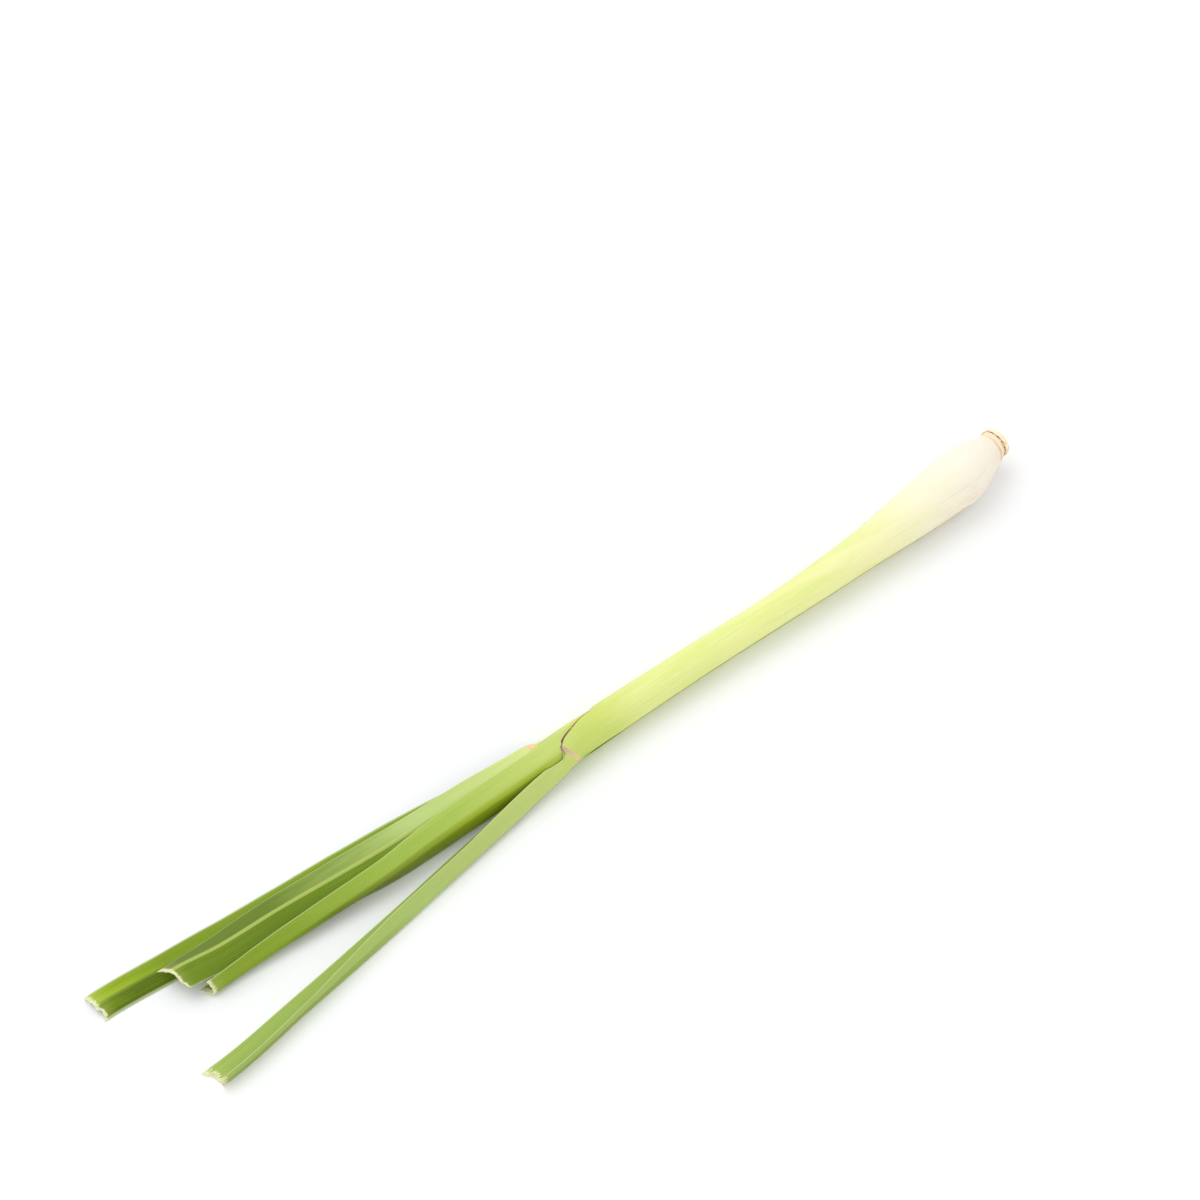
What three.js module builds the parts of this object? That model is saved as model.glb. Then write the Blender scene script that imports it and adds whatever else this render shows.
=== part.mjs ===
// A cut lemongrass stalk lying on a flat surface, in millimetres, +Z up.
//
// Four leaves grow from a short root stub. Each leaf is one sheet: a sheath rolled round the stem, and a
// blade that leaves it at the collar. The stem runs along X with the root end at +X, and the blades spread
// towards -X. Every leaf is described by cross-sections in planes of constant X.
//
// A cross-section has a midrib point, the direction that the outer side faces there, and two wings. A wing
// starts at the midrib, is turned back from it by a fold angle, and rolls inwards at an even rate of curl.
// Angles are in degrees from straight up, and grow towards -Y: 0 is the top of the stem, 90 its -Y side and
// 180 the bottom. The "low" wing runs towards smaller angles and the "high" wing towards larger ones.
import * as THREE from 'three';

// Driving dimensions
const BULB_RADIUS = 11.1;
const NECK_RADIUS = 6.05;
const COLLAR_RADIUS = 6.9;
const ROOT_RADIUS = 6.2;
const ROOT_STUB_LENGTH = 4.5;
const SHEATH_START = 4.8;
const GAP = 0.3;
const OUTER_SHEATH_WALL = 0.6;
const OUTER_SHEATH_PROUD = 0.4;
const SHEATH_WALL_SHARE = 0.14;
const BLADE_WALL = 0.55;
const INNER_BORE_RADIUS = 0.4;
const SETTLED_HEIGHT = 0.35;
const WING_STEPS = 6;

// Distances along the stalk are measured from the root end.
const STEM_RADIUS = smooth([
  [4.5, ROOT_RADIUS], [9, 7.4], [17, 9.9], [25, BULB_RADIUS], [35, 10.5], [50, 9.5], [76, 7.5],
  [97, 6.7], [123, NECK_RADIUS], [158, 6.15], [193, 6.5], [233, COLLAR_RADIUS],
]);
const STEM_Y = smooth([
  [0, 0], [23, -2.3], [48, -3.8], [74, -4.6], [118, -4], [158, -1.8], [212, 0.2], [238, 0.6],
]);
const STEM_Z = smooth([
  [0, 10.8], [25, BULB_RADIUS + 0.3], [118, 9.2], [212, COLLAR_RADIUS + 0.8], [238, 7.5],
]);

const STEM_STATIONS = [
  SHEATH_START, 7, 10, 14, 18, 22.5, 28.5, 36, 44, 53, 64, 77, 91, 107, 125, 144, 163, 182, 192,
];

// A smooth curve through a few [distance, value] points, level beyond its ends.
function smooth(points) {
  const slope = points.map((point, i) => {
    if (i === 0 || i === points.length - 1) return 0;
    return (points[i + 1][1] - points[i - 1][1]) / (points[i + 1][0] - points[i - 1][0]);
  });
  return (s) => {
    if (s <= points[0][0]) return points[0][1];
    for (let i = 1; i < points.length; i++) {
      const [s0, v0] = points[i - 1];
      const [s1, v1] = points[i];
      if (s > s1) continue;
      const span = s1 - s0;
      const t = (s - s0) / span;
      const bend = (t - 1) * (slope[i - 1] * span * (t - 1) + slope[i] * span * t);
      return v0 + (v1 - v0) * t * t * (3 - 2 * t) + t * bend;
    }
    return points[points.length - 1][1];
  };
}

// The sheaths lie inside one another. Their walls are thick in the bulb and thin at the collar, and the
// innermost one is rolled nearly solid as far as the neck.
const thickShare = smooth([[5, 1], [148, 0.75], [198, 0.15], [218, 0]]);
const sheathWall = (s) => BLADE_WALL + SHEATH_WALL_SHARE * STEM_RADIUS(s) * thickShare(s);
const outerRadius = (s) => STEM_RADIUS(s) + OUTER_SHEATH_PROUD;
const secondRadius = (s) => outerRadius(s) - OUTER_SHEATH_WALL - GAP;
const thirdRadius = (s) => secondRadius(s) - sheathWall(s) - GAP;
const innerRadius = (s) => thirdRadius(s) - sheathWall(s) - GAP;
const rolledShare = smooth([[148, 1], [198, 0]]);
const innerWall = (s) => BLADE_WALL + (innerRadius(s) - INNER_BORE_RADIUS - BLADE_WALL) * rolledShare(s);

// A sheath's cross-section: an arc round the stem's centre line.
function sheathSection(radius, wall, middle, low, high) {
  return (s) => {
    const r = radius(s);
    const angle = THREE.MathUtils.degToRad(middle);
    const reach = THREE.MathUtils.degToRad(1) * r;
    return {
      y: STEM_Y(s) - r * Math.sin(angle),
      z: STEM_Z(s) + r * Math.cos(angle),
      facing: middle,
      foldLow: 0,
      foldHigh: 0,
      curlLow: 1 / r,
      curlHigh: 1 / r,
      low: reach * low,
      high: reach * high,
      wall: wall(s),
    };
  };
}

// A blade's cross-sections, from a short list of hand-placed ones.
const FIELDS = ['y', 'z', 'facing', 'foldLow', 'foldHigh', 'curlLow', 'curlHigh', 'low', 'high', 'wall'];

function leafSections(sheath, sheathEnd, blade) {
  const last = sheath(sheathEnd);
  const keys = [[sheathEnd, ...FIELDS.map((field) => last[field])], ...blade];
  const curves = FIELDS.map((field, column) => smooth(keys.map((key) => [key[0], key[column + 1]])));
  return (s) => {
    if (s <= sheathEnd) return sheath(s);
    return Object.fromEntries(FIELDS.map((field, column) => [field, curves[column](s)]));
  };
}

// The outer and inner points of one cross-section, from the low margin to the high margin.
function sectionPoints(section) {
  const outer = [];
  const inner = [];
  for (let i = -WING_STEPS; i <= WING_STEPS; i++) {
    const side = i < 0 ? -1 : 1;
    const width = i < 0 ? section.low : section.high;
    const curl = i < 0 ? section.curlLow : section.curlHigh;
    const fold = i < 0 ? section.foldLow : section.foldHigh;
    const start = THREE.MathUtils.degToRad(section.facing + side * fold);
    const distance = (Math.abs(i) / WING_STEPS) * width;
    const half = (side * curl * distance) / 2;
    const chord = Math.abs(half) < 1e-6 ? distance : (distance * Math.sin(half)) / half;
    const y = section.y - side * chord * Math.cos(start + half);
    const z = section.z - side * chord * Math.sin(start + half);
    const normal = i === 0 ? THREE.MathUtils.degToRad(section.facing) : start + 2 * half;
    outer.push([y, z < SETTLED_HEIGHT ? 0 : z]);
    inner.push([y + section.wall * Math.sin(normal), z - section.wall * Math.cos(normal)]);
  }
  return { outer, inner };
}

// A closed sheet through a row of cross-sections, with its outer layer of points before its inner one.
function sheetGeometry(sectionAt, stations) {
  const columns = 2 * WING_STEPS + 1;
  const positions = [];
  for (const layer of ['outer', 'inner']) {
    for (const s of stations) {
      for (const [y, z] of sectionPoints(sectionAt(s))[layer]) positions.push(-s, y, z);
    }
  }
  const innerStart = stations.length * columns;
  const faces = [];
  const quad = (a, b, c, d) => faces.push(a, b, c, a, c, d);
  for (let row = 0; row + 1 < stations.length; row++) {
    for (let column = 0; column + 1 < columns; column++) {
      const corner = row * columns + column;
      quad(corner, corner + columns, corner + columns + 1, corner + 1);
      const under = corner + innerStart;
      quad(under, under + 1, under + columns + 1, under + columns);
    }
    const low = row * columns;
    quad(low, low + innerStart, low + innerStart + columns, low + columns);
    const high = low + columns - 1;
    quad(high, high + columns, high + columns + innerStart, high + innerStart);
  }
  const lastRow = (stations.length - 1) * columns;
  for (let column = 0; column + 1 < columns; column++) {
    const first = column;
    quad(first, first + 1, first + 1 + innerStart, first + innerStart);
    const last = lastRow + column;
    quad(last, last + innerStart, last + innerStart + 1, last + 1);
  }
  const geometry = new THREE.BufferGeometry();
  geometry.setAttribute('position', new THREE.Float32BufferAttribute(positions, 3));
  geometry.setIndex(faces);
  geometry.computeVertexNormals();
  return geometry;
}

// ---- The leaves. Each blade row is
// [distance, y, z, facing, low fold, high fold, low curl, high curl, low width, high width, wall].

// The lowest leaf wraps the under side and the back of the stem, and its blade lies flat under the others.
const outerSheath = sheathSection(outerRadius, () => OUTER_SHEATH_WALL, 195, 80, 80);
const outerLeaf = leafSections(outerSheath, 194, [
  [210, 2.2, 0.8, 196, 0, 0, 0.139, 0.139, 8.6, 8.6, BLADE_WALL],
  [222, 4.4, 0.6, 190, -2, -2, 0.06, 0.06, 5.8, 6.2, BLADE_WALL],
  [238, 8, 0.5, 182, -4, -4, 0, 0, 5.6, 6.2, BLADE_WALL],
  [273, 12.3, 0.8, 180, -8, -6, 0, 0, 5.6, 6.4, BLADE_WALL],
  [308, 15.4, 1.6, 180, -18, -12, 0, 0, 5.8, 6.8, BLADE_WALL],
  [343, 17.9, 2.3, 180, -26, -17, 0, 0, 5.9, 7, BLADE_WALL],
  [370, 20.8, 2.35, 180, -26, -17, 0, 0, 5.9, 7, BLADE_WALL],
  [397, 23.3, 2.4, 180, -26, -17, 0, 0, 5.9, 7, BLADE_WALL],
]);

// The second leaf is the outside of the stem on its upper side. Its blade folds along the midrib, with one
// wing on the surface and the other standing.
const secondSheath = sheathSection(secondRadius, sheathWall, 97, 170, 170);
const secondLeaf = leafSections(secondSheath, 198, [
  [211, -6.05, 6.8, 98, 0, 0, 0.159, 0.159, 12, 12, BLADE_WALL],
  [219, -7.2, 4.9, 108, 14, 22, 0.115, 0.1, 10.8, 7.2, BLADE_WALL],
  [233, -7.7, 3.1, 118, 30, 46, 0.07, 0.02, 8.9, 6.6, BLADE_WALL],
  [250, -9.85, 2.2, 115, 40, 60, 0.05, 0.01, 8.3, 7.2, BLADE_WALL],
  [274, -12.7, 1.3, 120, 45, 58, 0.03, 0, 7.8, 7.5, BLADE_WALL],
  [310, -17.4, 0.3, 122, 50, 58, 0.02, 0, 7.7, 7.5, BLADE_WALL],
  [345, -21.4, 0.2, 134, 46, 46, 0, 0, 6.3, 7.3, BLADE_WALL],
  [382, -25.4, 0.2, 140, 46, 40, 0, 0, 6, 8, BLADE_WALL],
]);

// The third leaf is rolled inside the second and comes out of its mouth as a tube, with the midrib on top.
const thirdSheath = sheathSection(thirdRadius, sheathWall, 50, 170, 170);
const thirdLeaf = leafSections(thirdSheath, 194, [
  [206, -3.8, 10.9, 50, 0, 0, 0.197, 0.197, 9, 11.2, BLADE_WALL],
  [220, -3.7, 11, 50, 2, 2, 0.185, 0.185, 8.4, 9.2, BLADE_WALL],
  [234, -3.9, 11, 50, 6, 6, 0.15, 0.15, 8.4, 8, BLADE_WALL],
  [260, -2.7, 9.5, 50, 20, 20, 0.09, 0.09, 8.4, 7, BLADE_WALL],
  [279, -2.2, 8.2, 55, 26, 28, 0.06, 0.06, 7.8, 7.6, BLADE_WALL],
  [297, -2.1, 7.0, 64, 36, 36, 0.04, 0.04, 6.9, 6.9, BLADE_WALL],
  [325, 0, 4.5, 88, 40, 44, 0.03, 0.03, 6.6, 5.6, BLADE_WALL],
  [345, 1.7, 2.9, 105, 44, 48, 0.01, 0.01, 6.6, 5.6, BLADE_WALL],
  [365, 2.6, 1.8, 118, 46, 48, 0, 0, 6.6, 5.5, BLADE_WALL],
]);

// The inner leaf is rolled tight, and its blade opens towards +Y as a low roof with the midrib as its ridge.
const innerSheath = sheathSection(innerRadius, innerWall, -77, 170, 170);
const innerLeaf = leafSections(innerSheath, 190, [
  [198, 3.6, 8.5, -77, 0, 0, 0.268, 0.268, 10.8, 10.8, 0.7],
  [206, 4, 8.6, -77, 0, 0, 0.244, 0.244, 11.6, 11.6, BLADE_WALL],
  [216, 4.25, 8.9, -74, 0, 0, 0.236, 0.236, 9.8, 10, BLADE_WALL],
  [226, 4.2, 10, -36, 4, 6, 0.08, 0.15, 6.6, 8, BLADE_WALL],
  [235, 4.2, 10.3, -11, 9, 9, 0.01, 0.1, 6.1, 8.2, BLADE_WALL],
  [254, 5.5, 9.6, -6, 8, 16, 0.01, 0.05, 6.6, 8, BLADE_WALL],
  [274, 6.4, 8.9, 0, 15, 16, 0.01, 0.03, 7.5, 8, BLADE_WALL],
  [296, 8.4, 7.4, 0, 14, 14, 0.01, 0.01, 7.9, 8, BLADE_WALL],
  [332, 12, 6.7, -4, 14, 12, 0.01, 0.01, 8, 8.5, BLADE_WALL],
  [355, 12.9, 6.7, -6, 15, 12, 0.01, 0.01, 8.1, 8.5, BLADE_WALL],
  [374, 14.9, 6.6, -8, 20, 14, 0.02, 0.01, 5.6, 8.4, BLADE_WALL],
]);

// Stations along a blade, from the end of its sheath to its cut end.
function stationsTo(end) {
  const blade = [];
  for (let s = 198; s < 238; s += 4) blade.push(s);
  for (let s = 242; s < end - 6; s += 12) blade.push(s);
  return [...STEM_STATIONS, ...blade, end];
}

// The root stub: a cut disc with a rim, and a groove between the rim and the sheaths.
function rootStubGeometry() {
  const profile = [
    [0, ROOT_STUB_LENGTH], [5.9, ROOT_STUB_LENGTH], [5.9, 3.7], [5.4, 3.2], [6.3, 2.7],
    [6.7, 1.8], [6.5, 0.7], [5.8, 0], [0, 0.3],
  ];
  const outline = profile.map(([radius, s]) => new THREE.Vector2(radius, -s));
  const geometry = new THREE.LatheGeometry(outline, 28);
  geometry.rotateZ(-Math.PI / 2);
  geometry.translate(0, STEM_Y(0), STEM_Z(0));
  return geometry;
}

const stalk = new THREE.Group();

function addPiece(name, geometry, color, roughness) {
  const material = new THREE.MeshStandardMaterial({ color, roughness, metalness: 0, side: THREE.DoubleSide });
  const piece = new THREE.Mesh(geometry, material);
  piece.name = name;
  stalk.add(piece);
}

addPiece('root_plate', rootStubGeometry(), 0xe8d9b4, 0.8);
addPiece('outer_leaf', sheetGeometry(outerLeaf, stationsTo(397)), 0x9cc23f, 0.5);
addPiece('second_leaf', sheetGeometry(secondLeaf, stationsTo(382)), 0xd8e38f, 0.45);
addPiece('third_leaf', sheetGeometry(thirdLeaf, stationsTo(365)), 0xa6c95c, 0.45);
addPiece('inner_leaf', sheetGeometry(innerLeaf, stationsTo(374)), 0xb4cf86, 0.5);

// The origin is the bottom centre of the bounding box.
const bounds = new THREE.Box3().setFromObject(stalk);
const centre = bounds.getCenter(new THREE.Vector3());
stalk.position.set(-centre.x, -centre.y, -bounds.min.z);

export default stalk;
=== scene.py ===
"""A cut lemongrass stalk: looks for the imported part, in the part's own frame, in metres.

Each leaf is one sheet, described by cross-sections in planes of constant X, as the part's solids are.
Lengths in the tables are millimetres. A distance "along" is counted from the root end, and a distance
"across" is counted from the midrib. Angles are degrees from straight up, growing towards -Y.
"""
import math

import bpy
import numpy as np
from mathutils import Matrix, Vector


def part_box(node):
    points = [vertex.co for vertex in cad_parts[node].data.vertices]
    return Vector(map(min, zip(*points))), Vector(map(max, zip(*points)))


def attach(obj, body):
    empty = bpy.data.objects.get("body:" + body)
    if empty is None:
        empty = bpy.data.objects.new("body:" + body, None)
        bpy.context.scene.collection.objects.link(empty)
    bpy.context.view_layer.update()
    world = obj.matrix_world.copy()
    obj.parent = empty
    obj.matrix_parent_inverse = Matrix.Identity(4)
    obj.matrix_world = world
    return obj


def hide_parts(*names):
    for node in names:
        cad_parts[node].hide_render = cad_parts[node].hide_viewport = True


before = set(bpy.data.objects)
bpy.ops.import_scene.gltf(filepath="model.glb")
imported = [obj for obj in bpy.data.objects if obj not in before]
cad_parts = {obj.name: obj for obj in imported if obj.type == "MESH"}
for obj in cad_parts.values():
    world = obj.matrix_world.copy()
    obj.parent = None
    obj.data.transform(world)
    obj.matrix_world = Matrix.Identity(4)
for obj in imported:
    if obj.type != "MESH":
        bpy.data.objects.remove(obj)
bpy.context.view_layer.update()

MM = 0.001
RNG = np.random.default_rng(71)

# The part's frame: the root end is the highest X, and the root stub's middle is where y is 0 in the tables.
ROOT_LOW, ROOT_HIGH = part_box("root_plate")
ROOT_X = ROOT_HIGH.x / MM
AXIS_Y = (ROOT_LOW.y + ROOT_HIGH.y) / 2 / MM
FLOOR_CLEARANCE = 0.06


# ---- Curves ----------------------------------------------------------------------------------------

RIPPLE_WAVES = 4


def smooth(points):
    """A smooth curve through a few (distance, value) points, level beyond its ends."""
    s = np.array([p[0] for p in points], float)
    v = np.array([p[1] for p in points], float)
    slope = np.zeros(len(s))
    slope[1:-1] = (v[2:] - v[:-2]) / (s[2:] - s[:-2])

    def value(x):
        x = np.clip(np.asarray(x, float), s[0], s[-1])
        i = np.clip(np.searchsorted(s, x, side="left") - 1, 0, len(s) - 2)
        span = s[i + 1] - s[i]
        t = (x - s[i]) / span
        bend = (t - 1) * (slope[i] * span * (t - 1) + slope[i + 1] * span * t)
        return v[i] + (v[i + 1] - v[i]) * t * t * (3 - 2 * t) + t * bend

    return value


def ease(x, low, high):
    """0 below low, 1 above high, and a smooth step between."""
    t = np.clip((np.asarray(x, float) - low) / (high - low), 0, 1)
    return t * t * (3 - 2 * t)


def ripple(s, seed, length):
    """A gentle random wave along the leaf, about -1 to 1, with waves of about the given length."""
    rng = np.random.default_rng(seed)
    total = np.zeros_like(s)
    for _ in range(RIPPLE_WAVES):
        wave = length * rng.uniform(0.5, 1.6)
        total += np.sin(2 * math.pi * (s / wave + rng.uniform())) / RIPPLE_WAVES
    return total


# ---- The stem --------------------------------------------------------------------------------------

BULB_RADIUS = 11.0
NECK_RADIUS = 6.05
COLLAR_RADIUS = 6.9
SHEATH_START = 4.8
ROOT_RADIUS = 6.1
SHEATH_GAP = 0.08
OUTER_SHEATH_WALL = 0.34
OUTER_SHEATH_PROUD = 0.3
SHEATH_WALL_SHARE = 0.14
BLADE_WALL = 0.42
INNER_BORE_RADIUS = 0.4

STEM_RADIUS = smooth([
    (4.5, ROOT_RADIUS), (9, 7.1), (17, 9.55), (25, BULB_RADIUS), (35, 10.5), (50, 9.5), (76, 7.5),
    (97, 6.7), (123, NECK_RADIUS), (158, 6.15), (193, 6.5), (233, COLLAR_RADIUS),
])
STEM_Y = smooth([
    (0, 0), (9, -1.1), (23, -3), (48, -4.2), (74, -4.7), (118, -4), (158, -1.8), (212, 0.2), (238, 0.6),
])
STEM_Z = smooth([
    (0, 10.8), (25, BULB_RADIUS + 0.4), (118, 9.2), (212, COLLAR_RADIUS + 0.8), (238, 7.5),
])

thick_share = smooth([(5, 1), (148, 0.75), (198, 0.15), (218, 0)])
rolled_share = smooth([(148, 1), (198, 0)])


def sheath_wall(s):
    return BLADE_WALL + SHEATH_WALL_SHARE * STEM_RADIUS(s) * thick_share(s)


def outer_radius(s):
    return STEM_RADIUS(s) + OUTER_SHEATH_PROUD


def second_radius(s):
    return outer_radius(s) - OUTER_SHEATH_WALL - SHEATH_GAP


def third_radius(s):
    return second_radius(s) - sheath_wall(s) - SHEATH_GAP


def inner_radius(s):
    return third_radius(s) - sheath_wall(s) - SHEATH_GAP


# How far a sheath reaches round the stem on each side of its middle, in degrees. On the low side the
# angles shrink, and on the high side they grow.
OUTER_REACH_LOW = 65
OUTER_REACH_HIGH = smooth([(0, 86), (160, 87), (196, 82)])
SECOND_REACH_LOW = 180
SECOND_REACH_HIGH = 170
ROLLED_REACH = 170


def inner_wall(s):
    return BLADE_WALL + (inner_radius(s) - INNER_BORE_RADIUS - BLADE_WALL) * rolled_share(s)


# ---- A leaf's cross-sections -----------------------------------------------------------------------

FIELDS = ("y", "z", "facing", "fold_low", "fold_high", "curl_low", "curl_high", "low", "high", "wall")


def sheath_section(radius, wall, middle, low, high):
    """An arc round the stem's centre line, as one row of FIELDS for each distance."""
    high = high if callable(high) else smooth([(0, high), (1, high)])

    def section(s):
        r = radius(s)
        angle = math.radians(middle)
        flat = np.zeros_like(r)
        reach = math.radians(1) * r
        return np.array([
            STEM_Y(s) - r * math.sin(angle), STEM_Z(s) + r * math.cos(angle), flat + middle, flat, flat,
            1 / r, 1 / r, reach * low, reach * high(s), wall(s) + flat,
        ])

    return section


def leaf_sections(sheath, sheath_end, blade):
    """The sheath up to its end, then a smooth curve through the listed blade sections."""
    last = sheath(np.array([float(sheath_end)]))[:, 0]
    keys = [(sheath_end, *last), *blade]
    curves = [smooth([(key[0], key[column + 1]) for key in keys]) for column in range(len(FIELDS))]

    def section(s):
        rolled = sheath(s)
        spread = np.array([curve(s) for curve in curves])
        return np.where(s <= sheath_end, rolled, spread)

    return section


# Each blade row is the distance, then the FIELDS: y, z, facing, low and high fold, low and high curl, low
# and high width, wall. A curl is in radians for each millimetre.
OUTER_BLADE = [
    (210, 2.2, 0.8, 196, 0, 0, 0.139, 0.139, 8.6, 7.4, BLADE_WALL),
    (222, 4.4, 0.6, 190, -2, -2, 0.06, 0.06, 5.8, 5.2, BLADE_WALL),
    (238, 8, 0.5, 182, -4, -4, 0, 0, 5.6, 5.4, BLADE_WALL),
    (273, 12.3, 0.8, 180, -8, -6, 0, 0, 5.6, 6.4, BLADE_WALL),
    (308, 15.4, 1.6, 180, -18, -12, 0, 0, 5.8, 6.8, BLADE_WALL),
    (343, 17.9, 2.3, 180, -26, -17, 0, 0, 5.9, 7, BLADE_WALL),
    (370, 20.8, 2.35, 180, -26, -17, 0, 0, 5.9, 6.6, BLADE_WALL),
    (397, 23.3, 2.4, 180, -26, -17, 0, 0, 5.9, 6.1, BLADE_WALL),
]
SECOND_BLADE = [
    (204, -6.4, 6.95, 97, 0, 0, 0.154, 0.154, 15.2, 15, BLADE_WALL),
    (210, -6.3, 6.9, 98, 0, 0, 0.154, 0.154, 14.2, 12, BLADE_WALL),
    (215, -6.4, 6.6, 100, 0, 2, 0.154, 0.15, 13.1, 10, BLADE_WALL),
    (219.4, -6.75, 6.0, 103, 3, 8, 0.15, 0.13, 12.4, 8.4, BLADE_WALL),
    (222.4, -7, 5.4, 106, 7, 14, 0.145, 0.11, 11.15, 7.6, BLADE_WALL),
    (223.2, -7.08, 5.2, 107, 8.5, 16, 0.138, 0.105, 9.9, 7.45, BLADE_WALL),
    (223.7, -7.12, 5.1, 107.5, 9.5, 18, 0.134, 0.1, 8.1, 7.4, BLADE_WALL),
    (224.6, -7.22, 4.85, 109, 12.5, 22, 0.125, 0.08, 7.0, 7.2, BLADE_WALL),
    (229, -7.45, 3.8, 114, 23, 35, 0.095, 0.05, 7.7, 6.8, BLADE_WALL),
    (233, -7.7, 3.1, 118, 30, 46, 0.07, 0.02, 8.9, 6.6, BLADE_WALL),
    (250, -9.85, 2.2, 115, 40, 60, 0.05, 0.01, 8.3, 7.2, BLADE_WALL),
    (274, -12.7, 1.3, 120, 45, 58, 0.03, 0, 7.8, 7.5, BLADE_WALL),
    (310, -17.4, 0.3, 122, 50, 58, 0.02, 0, 7.7, 7.5, BLADE_WALL),
    (345, -21.4, 0.2, 134, 46, 46, 0, 0, 6.3, 7.3, BLADE_WALL),
    (382, -25.4, 0.2, 140, 46, 40, 0, 0, 6, 8, BLADE_WALL),
]
THIRD_BLADE = [
    (206, -4.35, 11.4, 50, 0, 0, 0.172, 0.172, 9.8, 12.5, BLADE_WALL),
    (220, -4.3, 11.5, 50, 1, 1, 0.17, 0.17, 9.2, 10.2, BLADE_WALL),
    (234, -4, 11.2, 50, 5, 5, 0.15, 0.15, 8.6, 8.4, BLADE_WALL),
    (260, -2.7, 9.5, 50, 20, 20, 0.09, 0.09, 8.4, 7, BLADE_WALL),
    (279, -2.2, 8.2, 55, 26, 28, 0.06, 0.06, 7.8, 7.6, BLADE_WALL),
    (297, -2.1, 7.0, 64, 36, 36, 0.04, 0.04, 6.9, 6.9, BLADE_WALL),
    (325, 0, 4.5, 88, 40, 44, 0.03, 0.03, 6.6, 5.6, BLADE_WALL),
    (345, 1.7, 2.9, 105, 44, 48, 0.01, 0.01, 6.6, 5.6, BLADE_WALL),
    (365, 2.6, 1.8, 118, 46, 48, 0, 0, 6.6, 5.5, BLADE_WALL),
]
INNER_BLADE = [
    (198, 5.25, 8.9, -77, 0, 0, 0.2, 0.2, 14.4, 14.4, BLADE_WALL),
    (206, 6, 9.05, -77, 0, 0, 0.2, 0.205, 13.6, 13.6, BLADE_WALL),
    (216, 6.4, 9.5, -66, 0, 0, 0.15, 0.2, 9.6, 10.6, BLADE_WALL),
    (226, 5.7, 10.2, -44, 0, 6, 0.02, 0.15, 6.9, 8.6, BLADE_WALL),
    (235, 4.2, 10.3, -11, 9, 9, 0.01, 0.1, 6.1, 8.2, BLADE_WALL),
    (254, 5.5, 9.6, -6, 8, 16, 0.01, 0.05, 6.6, 8, BLADE_WALL),
    (274, 6.4, 8.9, 0, 15, 16, 0.01, 0.03, 7.5, 8, BLADE_WALL),
    (296, 8.4, 7.4, 0, 14, 14, 0.01, 0.01, 7.9, 8, BLADE_WALL),
    (332, 12, 6.9, -4, 17, 14, 0.01, 0.01, 8, 8.5, BLADE_WALL),
    (355, 12.9, 7.5, -6, 22, 17, 0.01, 0.01, 7.6, 8.5, BLADE_WALL),
    (373.4, 14.9, 8.3, -8, 29, 19, 0.02, 0.01, 5.8, 8.4, BLADE_WALL),
]


# ---- A leaf's mesh ---------------------------------------------------------------------------------

WING_COLUMNS = 26
COLUMNS = 2 * WING_COLUMNS + 1
CREASE_ROUNDING = 1.5
MARGIN_WALL_SHARE = 0.4
MARGIN_TAPER = 2.2
MIDRIB_HEIGHT = 0.22
MIDRIB_SPREAD = 0.75
LEAF_SHARP_ANGLE = 40

# The wing leans with a slow wave, and its margin with a quicker one: lengths in mm, leans in degrees.
WAVE_LENGTH = 46
WAVE_LEAN = 2.0
EDGE_WAVE_LENGTH = 17
EDGE_WAVE_LEAN = 2.5

# The distance between cross-sections is finest at the mouth: from, to and step, in mm from the root end.
ROW_STEPS = [
    (SHEATH_START, 190, 2.0), (190, 216, 0.8), (216, 221, 0.3), (221, 226, 0.12), (226, 228, 0.3),
    (228, 250, 0.9),
]
BLADE_ROWS_START = 250
BLADE_ROW_STEP = 1.6

# The last stretch of a blade is drawn out by the slant and the torn strands of its cut.
CUT_STRETCH = 4
CUT_ROWS = 14
CUT_RAGGEDNESS = 0.35
CUT_STRANDS = ((5, 0.8), (11, 0.6), (24, 0.35))


def cut_edge(slant, seed):
    """How far each column of a leaf runs past its nominal end: a slanted cut with torn fibres."""
    rng = np.random.default_rng(seed)
    across = np.linspace(-1, 1, COLUMNS)
    torn = np.zeros(COLUMNS)
    for strands, size in CUT_STRANDS:
        torn += size * np.interp(across, np.linspace(-1, 1, strands), rng.normal(size=strands))
    low, high = slant
    return np.where(across < 0, -across * low, across * high) + torn * CUT_RAGGEDNESS


def leaf_rows(end):
    """The distances of a leaf's cross-sections from the root end."""
    return np.concatenate([
        *[np.arange(*stretch) for stretch in ROW_STEPS],
        np.arange(BLADE_ROWS_START, end - CUT_STRETCH, BLADE_ROW_STEP),
        np.linspace(end - CUT_STRETCH, end, CUT_ROWS),
    ])


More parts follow.
